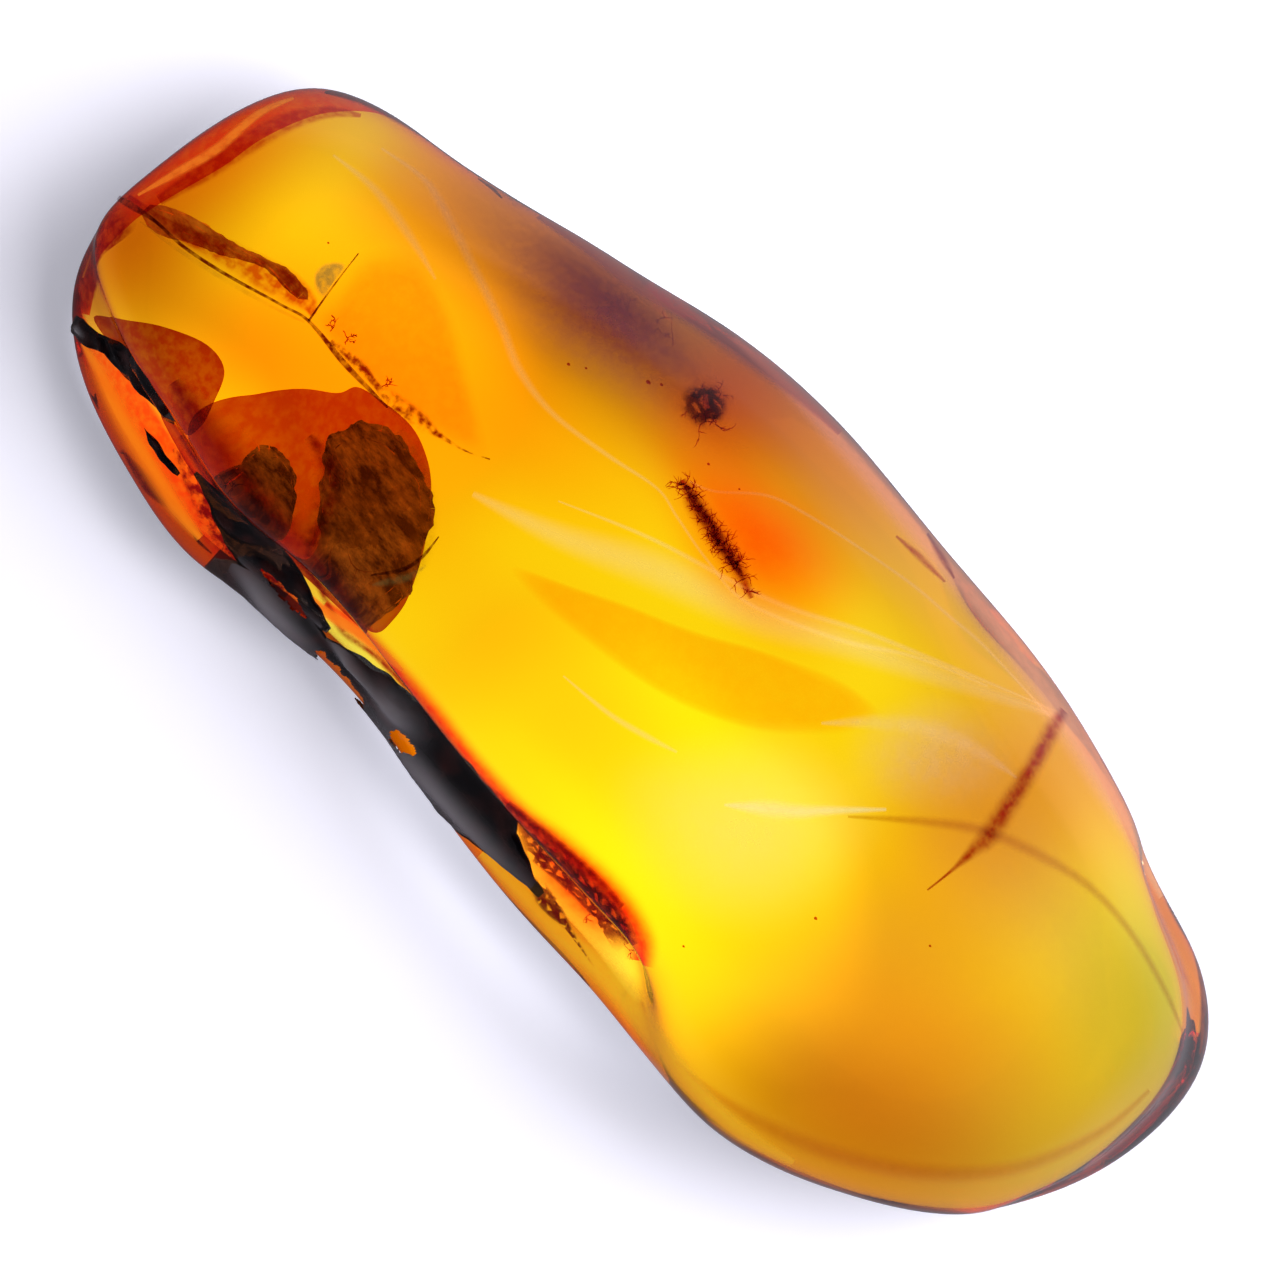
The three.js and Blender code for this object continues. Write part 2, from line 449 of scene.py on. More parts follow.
def top_at(skin, x, y):
    """Height in mm of the amber's top over a place in mm, or None beside the stone."""
    place, _, _, _ = skin.ray_cast(Vector((x, y, 40)) * MM, Vector((0, 0, -1)))
    return place.z / MM if place else None


# Dark crust on the flank, as raised shells. Each shell lies between two edges, given as x, upper y and
# lower y seen from above. A lower edge below -15 is an angle in degrees instead, and lies on the flank
# that much under the level. step, taper at the ends, height and grain (depth and size) are in mm.
CRUSTS = {
    "crust_streak": dict(step=0.08, rows=24, taper=0.5, height=0.3, grain=(0.3, 0.7), edges=[
        (-31.9, -10.4, -10.7), (-31.4, -10.2, -11.1), (-30.3, -10.1, -11.0), (-29.2, -9.6, -10.5),
        (-28.0, -9.5, -10.6), (-26.5, -9.6, -10.4), (-24.7, -10.0, -10.3), (-24.2, -10.2, -10.3)]),
    "crust_sliver": dict(step=0.08, rows=12, taper=0.5, height=0.12, grain=(0.1, 0.5), edges=[
        (-25.2, -11.5, -11.6), (-24.4, -11.5, -11.9), (-23.4, -11.6, -12.0), (-22.3, -11.7, -11.9)]),
    "crust_recess": dict(step=0.1, rows=40, taper=1.0, height=0.08, grain=(0.15, 0.9), edges=[
        (-21.8, -11.0, -11.2), (-20.2, -10.8, -11.7), (-18.4, -10.5, -12.4), (-16.5, -10.4, -12.6),
        (-14.8, -10.5, -12.2), (-13.2, -11.0, -12.0), (-11.6, -11.4, -11.7)]),
    "crust_shoulder": dict(step=0.12, rows=50, taper=3.0, height=0.16, grain=(0.12, 1.6), edges=[
        (-18.2, -13.3, -20), (-17.2, -12.5, -45), (-14.6, -11.9, -55), (-12.4, -11.7, -50),
        (-10.6, -12.0, -40), (-8.6, -12.6, -20)]),
    "crust_body": dict(step=0.12, rows=70, taper=2.5, height=0.16, grain=(0.14, 1.4), edges=[
        (-13.6, -12.7, -30), (-11.2, -11.7, -50), (-8.8, -10.9, -55), (-6.3, -10.5, -55),
        (-4.4, -10.5, -50), (-2.0, -10.5, -32), (0.6, -10.6, -13.4), (2.0, -11.2, -13.1),
        (3.8, -11.9, -12.8), (5.2, -12.3, -12.6)]),
}

# Clear places in the crust, and swellings on it that also carry grey painted as sheen: centre and radii in
# mm, seen from above.
CRUST_WINDOWS = [((-9.8, -12.7), (1.8, 0.35)), ((-5.2, -12.4), (0.8, 0.3)), ((-14.6, -11.9), (1.6, 0.25))]
CRUST_SWELLINGS = [((-6.4, -11.5), (1.4, 0.6), 0.5), ((-9.8, -11.7), (2.4, 0.22), 0.4),
                   ((-14.4, -12.8), (2.8, 0.5), 0.35), ((-1.5, -12.7), (5.0, 0.5), 0.35),
                   ((-31.0, -10.6), (0.3, 0.12), 0.2)]
FLANK_CENTRE = (-7.0, 7.0)
FLANK_REACH = 20
CRUST_COLOURS = [(0.45, (0.003, 0.002, 0.003, 1)), (0.8, (0.045, 0.008, 0.006, 1))]
# Grey painted on the swellings as sheen.
CRUST_SHEEN_GREY = (0.2, 0.18, 0.2, 1)
# The edges wander by this angle in radians, and lie this far in mm under the skin.
CRUST_WANDER = 0.03
CRUST_SUNK = 0.06
# A shell is at its full height from one part in so many of its width on.
CRUST_RIM = 7
FINE_GRAIN = (0.02, 0.3)


def flank_angle(skin, x, y):
    """The angle above the level at which an edge lies, seen from the flank's centre."""
    if y < -15:
        return math.radians(y)
    height = top_at(skin, x, y)
    return math.atan2(height - FLANK_CENTRE[1], FLANK_CENTRE[0] - y) if height else 0.0


def crust_material():
    """Nearly black with dark red stains, and grey painted as sheen where the crust is swollen."""
    material, tree, shader = new_material("crust")
    stain = add_node(tree, "TexNoise", {"Vector": place_socket(tree), "Scale": 700, "Detail": 4})
    dark = colour_ramp(tree, stain.outputs["Fac"], CRUST_COLOURS)
    sheen_share = add_node(tree, "Attribute", {}, attribute_name="painted_sheen")
    mix = add_node(tree, "Mix", {"Factor": sheen_share.outputs["Fac"], "A": dark, "B": CRUST_SHEEN_GREY},
                   data_type="RGBA")
    set_inputs(tree, shader, {"Base Color": mix.outputs["Result"], "Roughness": 0.22})
    return material


def radii_away(spot, centre, radii):
    """How far a place lies from a centre, in radii."""
    return math.hypot((spot.x - centre[0]) / radii[0], (spot.y - centre[1]) / radii[1])


def add_crust(name, spec, skin, material):
    rows = spec["rows"]
    coarse, size = spec["grain"]
    edges = np.array([(x, flank_angle(skin, x, upper), flank_angle(skin, x, lower))
                      for x, upper, lower in spec["edges"]])
    stations = np.arange(edges[0, 0], edges[-1, 0], spec["step"])
    points, faces, spots, painted_sheens = [], [], [], []
    for x in stations:
        upper = np.interp(x, edges[:, 0], edges[:, 1])
        lower = np.interp(x, edges[:, 0], edges[:, 2])
        upper += CRUST_WANDER * noise.noise(Vector((x * 1.3, 0, 5)))
        lower += CRUST_WANDER * noise.noise(Vector((x * 1.3, 9, 5)))
        end = min(x - stations[0], stations[-1] - x) / spec["taper"]
        for row in range(rows + 1):
            share = row / rows
            angle = lower + (upper - lower) * share
            out = Vector((0, -math.cos(angle), math.sin(angle)))
            middle = Vector((x, *FLANK_CENTRE))
            place, normal, _, _ = skin.ray_cast((middle + out * FLANK_REACH) * MM, -out)
            spot = place / MM
            body = min(1, CRUST_RIM * share, CRUST_RIM * (1 - share), end)
            drawn_out = Vector((spot.x / 3, spot.y, spot.z)) / size
            rise = spec["height"] * body - CRUST_SUNK + coarse * body * noise.noise(drawn_out)
            rise += FINE_GRAIN[0] * body * noise.noise(spot / FINE_GRAIN[1])
            # How much grey is painted on here as sheen, from the swellings.
            painted_sheen = 0
            for centre, radii, more in CRUST_SWELLINGS:
                far = radii_away(spot, centre, radii)
                rise += more * body * math.exp(-far * far)
                painted_sheen += math.exp(-far * far)
            painted_sheens.append(min(painted_sheen, 1))
            points.append(place + normal * rise * MM)
            spots.append(spot)
    for i in range(len(stations) - 1):
        for row in range(rows):
            start = i * (rows + 1) + row
            ragged = 1 + 0.5 * noise.noise(spots[start] / 0.5)
            if all(radii_away(spots[start], *window) >= ragged for window in CRUST_WINDOWS):
                faces.append((start, start + rows + 1, start + rows + 2, start + 1))
    mesh = valued_mesh(name, points, faces, "painted_sheen", painted_sheens)
    mesh.materials.append(material)
    add_piece(name, mesh)


# What is sealed in the amber

# Light that reaches sealed pieces through the stone, as their own faint glow.
SEALED_GLOW = 0.5


def detailed(node, cuts, relief):
    """A copy of a CAD node's mesh with finer faces and a rough surface. relief is [(mm, size mm)]."""
    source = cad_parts[node].data
    grid = bmesh.new()
    grid.from_mesh(source)
    bmesh.ops.subdivide_edges(grid, edges=grid.edges[:], cuts=cuts, use_grid_fill=True)
    grid.normal_update()
    moves = []
    for vertex in grid.verts:
        place = vertex.co / MM
        height = sum(depth * noise.noise(place / size) for depth, size in relief)
        moves.append(vertex.normal * height * MM)
    for vertex, move in zip(grid.verts, moves):
        vertex.co += move
    mesh = bpy.data.meshes.new(node)
    grid.to_mesh(mesh)
    grid.free()
    mesh.polygons.foreach_set("use_smooth", [True] * len(mesh.polygons))
    return mesh


def fibrous_material(name, dark, light, stretch, turn):
    """Old plant tissue: fibres along one direction with lighter flecks."""
    material, tree, shader = new_material(name)
    fibres = add_node(tree, "Mapping", {
        "Vector": place_socket(tree),
        "Rotation": (0, 0, math.radians(turn)),
        "Scale": (1, stretch, 1),
    })
    grain = add_node(tree, "TexNoise", {
        "Vector": fibres.outputs[0], "Scale": 500, "Detail": 6, "Roughness": 0.7})
    colour = colour_ramp(tree, grain.outputs["Fac"], [(0.42, dark), (0.68, light)])
    set_inputs(tree, shader, {
        "Base Color": colour,
        "Emission Color": colour,
        "Emission Strength": SEALED_GLOW,
        "Roughness": 0.75,
    })
    return material


def add_sealed(node, cuts, relief, material):
    mesh = detailed(node, cuts, relief)
    mesh.materials.append(material)
    add_piece("old_" + node, mesh, (node,))


def add_inclusions():
    bark = fibrous_material("bark", srgb(85, 32, 14), srgb(205, 108, 60), 3.0, 65)
    plant = fibrous_material("plant", srgb(190, 85, 30), srgb(255, 165, 75), 2.5, 20)
    add_sealed("bark_flake_large", 3, [(0.4, 2.2), (0.25, 0.8), (0.15, 0.35)], bark)
    add_sealed("bark_flake_small", 3, [(0.3, 1.6), (0.2, 0.6), (0.12, 0.3)], bark)
    add_sealed("plant_shred", 3, [(0.1, 0.8), (0.06, 0.3)], plant)


# Veils, healed cracks, flow lines and stains inside the amber, and painted shade, glow, highlights and
# reflections, each a thin sheet. "under" is how far below the top it lies in mm, or "z" its height. An
# outline is x, y. A line is x, y and half its width. "filter" colours what is behind it; "film" covers it
# by its strength and may shine faintly. Colours are sRGB from 0 to 255. "edge" is the share of the sheet
# over which it fades in, and "mottle" how patchy it is.
PLAIN_EDGE = 1.0
PLAIN_MOTTLE = 0.1
SHARP_EDGE = 0.15
CLOUD_SPAN = (0.35, 0.6)
SHEET_WAVE = 0.3
SHEETS = {
    "halo": dict(z=8.0, filter=(172, 78, 60), edge=0.06, mottle=0.06, outline=[(-25.1, -9.5),
        (-24.1, -8.1), (-21.5, -4.8), (-19.7, -3.3), (-19, -2.3), (-16.3, -1.7), (-14.4, -2.1),
        (-12.9, -3.1), (-11.2, -4.9), (-9.7, -7), (-9.2, -8.7), (-9.5, -9.6), (-11.1, -9.9),
        (-14.1, -10.1), (-18.5, -10.4), (-21.2, -10.6), (-23.7, -10.3)]),
    "halo_lobe": dict(under=0.6, filter=(165, 68, 55), edge=0.1, outline=[(-31.0, -9.6), (-29.2, -8.3),
        (-27.6, -7.2), (-25.6, -6.3), (-24.1, -6.5), (-23.3, -7.9), (-22.9, -9.1), (-23.4, -10.0),
        (-26, -9.9), (-28.5, -9.9)]),
    "halo_shade": dict(under=0.5, filter=(175, 75, 60), mottle=0.2, line=[(-25.4, -8.6, 0.4),
        (-23.6, -9.0, 1.2), (-20.6, -9.4, 1.7), (-17.0, -9.4, 1.6), (-13.4, -9.4, 1.1),
        (-11.0, -9.6, 0.3)]),
    "fracture_wing": dict(z=11.0, filter=(248, 214, 170), edge=0.3, mottle=0.15, outline=[(-23.3, -2.1),
        (-23.6, -0.8), (-24.1, 1.8), (-22.5, 3.6), (-20.3, 3.6), (-17.6, 2.7), (-15.4, 1.6),
        (-12.4, -0.1), (-14.8, -1.4), (-17.2, -1.9), (-20.7, -2.1)]),
    # Painted reflection: a tapered yellow image of the stone's boundary seen inside it.
    "tongue_painted_reflection": dict(z=7.0, filter=(255, 222, 140), edge=0.16, outline=[(-7.8, -2.6), (-3.8, -0.5),
        (1, 1.9), (4.8, 3.9), (9.4, 5.1), (8.7, 3), (5.7, 0.4), (1.2, -1.6), (-3, -2.5)]),
    # Painted shade: two red-orange bands along the blunt end's steep wall.
    "end_painted_shade_band": dict(under=0.5, filter=(228, 98, 30), edge=0.1, line=[(-32.0, -10.2, 0.9),
        (-33.2, -8, 0.9), (-33.6, -5.2, 1.1), (-33.5, -3.6, 1.2), (-33.3, 0, 1.7), (-32.9, 2.4, 1.5),
        (-32.2, 4.6, 1.3), (-31.2, 6.2, 1.0), (-29.6, 7.8, 0.7), (-27.6, 8.7, 0.4), (-26, 9.1, 0.15)]),
    "end_painted_shade_band_inner": dict(under=0.6, filter=(212, 145, 60), edge=0.5, mottle=0.4, line=[
        (-32.4, -3.4, 0.3), (-32.0, -1.0, 0.6), (-31.7, 1.6, 0.7), (-31.2, 4.0, 0.6), (-30.4, 5.6, 0.4),
        (-29.4, 6.6, 0.15)]),
    # Painted highlights along the blunt end's outer edge.
    "end_painted_highlight": dict(under=0.3, film=(255, 170, 50), strength=0.9, shine=1.0, edge=0.7, mottle=0.4,
        line=[(-33.4, -4.0, 0.1), (-32.9, -1.8, 0.3), (-32.5, 0.4, 0.35), (-32.6, 3.0, 0.3),
        (-32.2, 4.8, 0.15)]),
    "end_painted_highlight_low": dict(under=0.3, film=(240, 140, 40), strength=0.8, shine=0.7, mottle=0.6,
        line=[(-34.0, -5.0, 0.08), (-33.5, -7.2, 0.15), (-32.9, -8.8, 0.12)]),
    "end_wedge": dict(under=0.4, filter=(180, 75, 40), edge=0.3, mottle=0.5, outline=[(-33.9, -4.9),
        (-32.2, -5.0), (-32.3, -7.3), (-31.6, -9.0), (-31.4, -10.1), (-32.4, -10.2), (-33.4, -9.2),
        (-34.0, -7.4)]),
    "dome_edge_glow": dict(under=0.5, filter=(255, 75, 40), line=[(-12.8, -10.6, 0.4),
        (-10.5, -10.1, 0.7), (-6.0, -10.0, 0.8), (-2, -10.2, 0.8), (1.3, -10.2, 0.9), (4, -9.8, 1.1),
        (7.4, -9.5, 1.1), (9.8, -9.9, 1.0), (10.8, -10.8, 0.8)]),
    "dome_edge_rust": dict(under=0.3, filter=(165, 60, 60), mottle=0.4, line=[(-23.6, -10.3, 0.3),
        (-20.6, -10.7, 0.35), (-17.1, -10.3, 0.3), (-14, -10.2, 0.3), (-11.4, -10.9, 0.3),
        (-9.1, -10.5, 0.25), (-6, -10.4, 0.25), (-0.8, -10.5, 0.3), (5.1, -9.6, 0.3), (8, -9.5, 0.3)]),
    "flank_red": dict(under=0.34, filter=(255, 120, 70), edge=0.3, mottle=0.2, line=[(-32.6, -10.0, 0.3),
        (-30, -10.9, 0.7), (-27, -11.0, 0.9), (-22.4, -11.7, 1.0), (-18, -12.1, 1.4), (-14.6, -11.9, 1.1),
        (-12.6, -11.6, 0.4)]),
    # Painted glow: a bright orange line along the dome's edge.
    "flank_edge_painted_glow": dict(under=0.2, film=(255, 125, 24), strength=0.95, shine=1.0, edge=0.7, line=[
        (-14.0, -11.0, 0.1), (-12.4, -10.9, 0.35), (-10.6, -10.4, 0.4), (-8.8, -10.0, 0.35),
        (-7.6, -9.8, 0.1)]),
    # Painted light: a bright yellow band low on the flank towards the tapered end.
    "flank_right_painted_light": dict(under=0.3, film=(255, 205, 40), strength=0.85, shine=0.85, edge=0.8, line=[
        (1.6, -13.2, 0.5), (4.2, -13.0, 0.9), (7.4, -12.9, 1.1), (10.6, -12.6, 1.2), (13.6, -12.8, 1.0),
        (16.8, -13.0, 0.9), (20.0, -12.8, 0.8), (23.0, -11.8, 0.3)]),
    # Painted glow: a bright orange band low on the flank near the blunt end.
    "flank_left_painted_glow": dict(under=0.25, film=(255, 165, 28), strength=0.9, shine=1.0, edge=0.9, line=[
        (-30.6, -11.0, 0.2), (-28.6, -11.4, 0.6), (-26.4, -12.0, 0.8), (-24.0, -12.5, 0.8),
        (-21.6, -12.9, 0.7), (-19.4, -13.1, 0.3)]),
    "flank_rust": dict(under=0.2, filter=(130, 25, 20), edge=0.6, mottle=0.85, line=[(-23.4, -11.0, 0.2),
        (-21.2, -11.6, 0.6), (-19, -12.1, 0.8), (-16.8, -12.1, 0.8), (-14.4, -11.8, 0.3)]),
    "flank_bruise": dict(under=0.27, filter=(140, 55, 55), edge=0.3, mottle=0.3, outline=[(-25.7, -13.1),
        (-24.2, -12.9), (-22.8, -12.8), (-21.4, -13.2), (-22.2, -13.6), (-23.5, -13.7)]),
    "fissure_strip": dict(z=11.2, filter=(205, 120, 90), edge=0.5, mottle=0.6, line=[(-33.2, -4.4, 0.15),
        (-31.4, -4.0, 0.3), (-29.8, -3.4, 0.55), (-28.4, -2.8, 0.7), (-26.7, -2.3, 0.85),
        (-25.2, -1.8, 0.8), (-24, -1.6, 0.5), (-23.4, -1.8, 0.2)]),
    "fissure_pale": dict(z=11.6, film=(215, 165, 75), strength=0.25, shine=0.45, edge=0.6, mottle=0.7,
        line=[(-32.0, -4.7, 0.06), (-30.0, -4.3, 0.12), (-27.6, -3.7, 0.14), (-25.2, -3.0, 0.12),
        (-23.4, -2.3, 0.08)]),
    "fissure_line": dict(z=11.8, filter=(110, 45, 30), edge=0.4, mottle=0.5, line=[(-34.2, -4.8, 0.15),
        (-33.0, -4.6, 0.2), (-31.6, -4.2, 0.1), (-29.8, -4.0, 0.1), (-27.4, -3.4, 0.1),
        (-24.9, -2.6, 0.08), (-23.3, -2.1, 0.1), (-20.7, -2.1, 0.18), (-18.9, -2.0, 0.14),
        (-17.4, -1.9, 0.06)]),
    "wing_edge": dict(z=11.9, filter=(110, 45, 30), edge=0.4, mottle=0.4, line=[(-23.3, -2.1, 0.08),
        (-23.6, -0.8, 0.06), (-24.1, 1.8, 0.04)]),
    "wing_hem": dict(z=11.9, filter=(135, 50, 35), edge=0.7, mottle=0.95, line=[(-21.8, -1.9, 0.15),
        (-20.0, -1.6, 0.35), (-18.6, -1.6, 0.25), (-17.4, -1.5, 0.5), (-16.0, -1.2, 0.5),
        (-14.8, -1.0, 0.2), (-13.4, -0.6, 0.06), (-12.3, 0.0, 0.05)]),
    "bubble": dict(z=12.0, film=(190, 175, 150), strength=0.75, shine=0.5, edge=0.3, mottle=0.5,
        outline=[(-23.6, -0.9), (-24.3, -0.9), (-24.9, -0.4), (-24.9, 0.3), (-24.4, 0.9), (-24.0, 0.9),
        (-23.8, 0.0)]),
    "bark_tissue": dict(z=10.9, film=(150, 70, 15), strength=0.6, shine=0.3, edge=0.7, mottle=0.9,
        outline=[(-17.3, -4.2), (-15.6, -2.6), (-13.8, -2.6), (-11.8, -4.2), (-10.6, -6.2), (-10.4, -7.9),
        (-11.6, -8.9), (-13.6, -9.0), (-15.4, -8.6), (-16.8, -7.0)]),
    "flake_gap_shade": dict(under=0.6, filter=(165, 85, 60), mottle=0.5, line=[(-19.0, -5.6, 0.3),
        (-17.2, -5.8, 0.9), (-16.0, -7.0, 1.1), (-15.2, -8.6, 0.8), (-14.8, -9.4, 0.2)]),
    "flake_fringe": dict(z=11.3, film=(190, 95, 20), strength=0.5, shine=0.35, mottle=0.8, line=[
        (-16.2, -2.2, 0.3), (-14.6, -2.7, 0.7), (-12.8, -3.7, 0.8), (-11.5, -5.0, 0.8),
        (-10.6, -6.6, 0.6), (-10.4, -8.0, 0.2)]),
    "wisp": dict(z=12.2, film=(175, 165, 160), strength=0.45, shine=0.25, edge=0.9, mottle=0.9,
        line=[(-11.6, -7.6, 0.1), (-11.1, -6.9, 0.3), (-10.7, -6.2, 0.25), (-10.6, -5.4, 0.08)]),
    "spur": dict(z=12.3, filter=(120, 60, 40), edge=0.6, mottle=0.4, line=[(-12.0, -7.4, 0.05),
        (-11.2, -6.3, 0.14), (-11.0, -5.3, 0.12), (-11.2, -4.1, 0.04)]),
    "spot_core": dict(under=0.4, filter=(172, 52, 62), mottle=0.2, line=[(-5.4, 6.3, 0.3),
        (-4.6, 6.15, 0.6), (-4.0, 6.0, 0.7), (-2.6, 5.8, 0.75), (-1.2, 5.6, 0.75), (-0.2, 5.4, 0.55),
        (1.1, 5.0, 0.2)]),
    "spot_heart": dict(under=0.35, filter=(115, 35, 50), edge=0.7, mottle=0.5, line=[(-5.1, 6.25, 0.15),
        (-4.0, 6.05, 0.35), (-2.6, 5.8, 0.4), (-1.2, 5.6, 0.4), (0.2, 5.3, 0.12)]),
    "spot_glow": dict(under=0.65, filter=(255, 160, 100), mottle=0.05, outline=[(-8.6, 6.6), (-6.6, 8.8),
        (-2.6, 10.2), (1.4, 10.8), (5.0, 9.8), (5.6, 6.8), (3.4, 3.8), (-0.6, 2.9), (-5.0, 3.8)]),
    "net_glow": dict(under=0.55, filter=(242, 100, 60), edge=0.8, outline=[(-1.4, -10.7), (2.2, -9.6),
        (5.3, -8.9), (8, -8.9), (10.6, -9.4), (11.6, -10.8), (10.2, -12.2), (6.6, -12.6), (3.0, -12.6)]),
    "net_stain": dict(under=0.2, filter=(150, 25, 30), edge=0.7, mottle=0.4, line=[(0.6, -10.5, 0.5),
        (2.6, -10.3, 0.8), (5.0, -10.1, 0.9), (7.6, -10.1, 0.85), (9.8, -10.5, 0.5)]),
    "pit_shade": dict(under=0.6, filter=(160, 55, 60), edge=0.9, mottle=0.5, outline=[(-9.0, 9.4),
        (-8.4, 10.6), (-7.3, 11.2), (-6.2, 10.6), (-5.9, 9.4), (-6.7, 8.3), (-8.1, 8.3)]),
    "haze_core": dict(under=0.5, filter=(140, 58, 62), mottle=0.3, outline=[(-21.0, 8.8), (-17.8, 10.6),
        (-13.2, 11.6), (-9.6, 11.4), (-7.2, 10.4), (-9.0, 8.9), (-12, 7.9), (-17, 7.2)]),
    "haze_veil": dict(under=0.3, film=(190, 104, 116), strength=0.6, shine=0.7, mottle=0.3,
        outline=[(-26.0, 7.0), (-22.0, 10.2), (-14.2, 12.2), (-8.0, 12.4), (-4.2, 11.4), (-5.6, 8.0),
        (-10, 5.8), (-17, 4.4)]),
    "far_veil": dict(under=0.45, film=(215, 195, 165), strength=0.22, shine=0.45, outline=[(10.4, 3.4),
        (12.4, 9.6), (17.0, 11.4), (23.0, 10.6), (29.0, 9.0), (32.4, 6.0), (32.0, 1.6), (25.0, 0.6),
        (17.0, 0.6)]),
    "tip_veil": dict(under=0.4, film=(215, 190, 150), strength=0.12, shine=0.3, edge=0.6, outline=[
        (12.4, -10.6), (11.6, -4.0), (14.0, 2.6), (22.0, 4.6), (30.0, 3.4), (32.4, -2.0), (29.0, -7.6),
        (21.6, -11.6)]),
    # Painted reflections along the upper rim: a dim pinkish one on the blunt half and a pale glowing one
    # towards the tapered end.
    "rim_painted_dull_sheen": dict(under=0.15, film=(190, 118, 108), strength=0.8, shine=0.75, edge=0.6, line=[
        (-20.0, 10.0, 0.3), (-17.0, 10.8, 0.6), (-14.0, 11.5, 0.9), (-11.0, 12.5, 1.0), (-8.0, 13.2, 1.0),
        (-5.0, 13.7, 0.7), (-2.0, 13.9, 0.3)]),
    "rim_painted_sheen": dict(under=0.2, film=(250, 195, 150), strength=0.7, shine=1.2, line=[(-9.0, 13.1, 0.3),
        (-5.0, 13.5, 0.7), (-1.0, 13.6, 1.0), (4.0, 13.5, 1.1), (9.0, 13.3, 1.2), (13.0, 13.0, 1.3),
        (17.0, 12.5, 1.3), (20.0, 12.0, 1.2), (23.0, 11.3, 0.8), (26.0, 10.5, 0.4)]),
    "middle_veil": dict(under=1.5, film=(255, 245, 205), strength=0.3, shine=0.85, outline=[(2.0, -5.6),
        (4.6, 0.4), (8.6, 3.4), (13.6, 3.4), (15.2, -0.6), (14.4, -5.0), (11.0, -8.0), (6.0, -8.4)]),
    "soft_sheen": dict(under=0.9, film=(248, 210, 180), strength=0.4, shine=0.85, mottle=0.3,
        outline=[(8.6, 4.6), (9.8, 8.4), (13.2, 10.6), (16.6, 10.4), (17.0, 8.0), (15.6, 5.0),
        (12.4, 2.6), (9.8, 2.6)]),
    "sheen_streak": dict(under=1.2, film=(255, 225, 180), strength=0.35, shine=0.8, mottle=0.3,
        line=[(7.8, 3.4, 0.1), (9.6, 5.4, 0.5), (11.8, 7.2, 0.7), (14.4, 8.2, 0.4), (16.2, 8.6, 0.1)]),
    "long_crack": dict(under=0.12, filter=(175, 58, 58), mottle=0.3, line=[(15.6, 12.9, 0.4),
        (15.8, 11.6, 0.7), (16.4, 9.6, 0.7), (16.9, 7.5, 0.75), (17.3, 5.8, 0.75), (17.3, 4.9, 0.5),
        (17.3, 3.4, 0.15), (17.2, 1.9, 0.08)]),
    "back_line_long": dict(under=0.08, filter=(185, 95, 70), mottle=0.3, line=[(3.6, 12.4, 0.1),
        (5.2, 12.6, 0.3), (6.9, 12.7, 0.1)]),
    "back_line_short": dict(under=0.08, filter=(165, 85, 90), mottle=0.3, line=[(4.6, 13.8, 0.15),
        (5.9, 13.5, 0.35), (7.1, 13.2, 0.1)]),
    # Painted highlight and shade along the image of the stone's lower edge seen through the top.
    "arc_painted_highlight": dict(under=0.6, film=(255, 248, 190), strength=0.55, shine=0.9, mottle=0.2, line=[
        (7.6, -2.6, 0.1), (9.0, -1.3, 0.55), (10.2, -0.2, 0.5), (11.4, 1.2, 0.3), (13.0, 3.0, 0.12)]),
    "arc_shade": dict(under=0.7, filter=(225, 205, 140), line=[(12.0, 1.4, 0.1), (14.6, 3.9, 0.35),
        (17.0, 5.8, 0.45), (19.7, 7.0, 0.45), (22.6, 7.8, 0.35), (25.7, 7.8, 0.3), (28.9, 7.2, 0.25),
        (31.4, 6.4, 0.1)]),
    "end_shade": dict(under=1.0, filter=(238, 215, 150), line=[(15.5, -12.6, 0.1), (19, -11.9, 0.5),
        (23, -10.3, 0.7), (27, -7.6, 0.7), (30.2, -4, 0.6), (31.8, 0.2, 0.4), (32.0, 3.4, 0.2)]),
    # Painted shade: a dark crescent along the rim at the tapered end.
    "tip_painted_shade": dict(under=0.25, filter=(118, 70, 75), edge=0.35, mottle=0.2, line=[(29.2, 9.8, 0.1),
        (31.0, 8.9, 0.45), (32.8, 7.2, 0.6), (33.9, 5.2, 0.65), (34.3, 3.2, 0.6), (34.3, 1.2, 0.35),
        (33.9, -0.6, 0.1)]),
    "notch_shade": dict(under=0.2, filter=(85, 45, 70), edge=0.5, mottle=0.4, line=[(24.4, 11.4, 0.05),
        (25.6, 11.0, 0.28), (27.0, 10.5, 0.35), (28.4, 10.1, 0.2), (29.2, 9.9, 0.05)]),
    # Painted shade: a dark crescent along the upper rim at the blunt end.
    "blunt_rim_painted_shade": dict(under=0.25, filter=(105, 60, 55), edge=0.5, mottle=0.2, line=[(-31.6, 6.2, 0.15),
        (-30.2, 7.4, 0.45), (-28.6, 8.1, 0.5), (-26.9, 8.6, 0.35), (-25.2, 8.9, 0.1)]),
    "nick": dict(under=0.1, filter=(90, 45, 60), edge=0.6, mottle=0.3, line=[(-23.4, 9.0, 0.05),
        (-22.6, 9.2, 0.14), (-21.8, 9.2, 0.05)]),
}

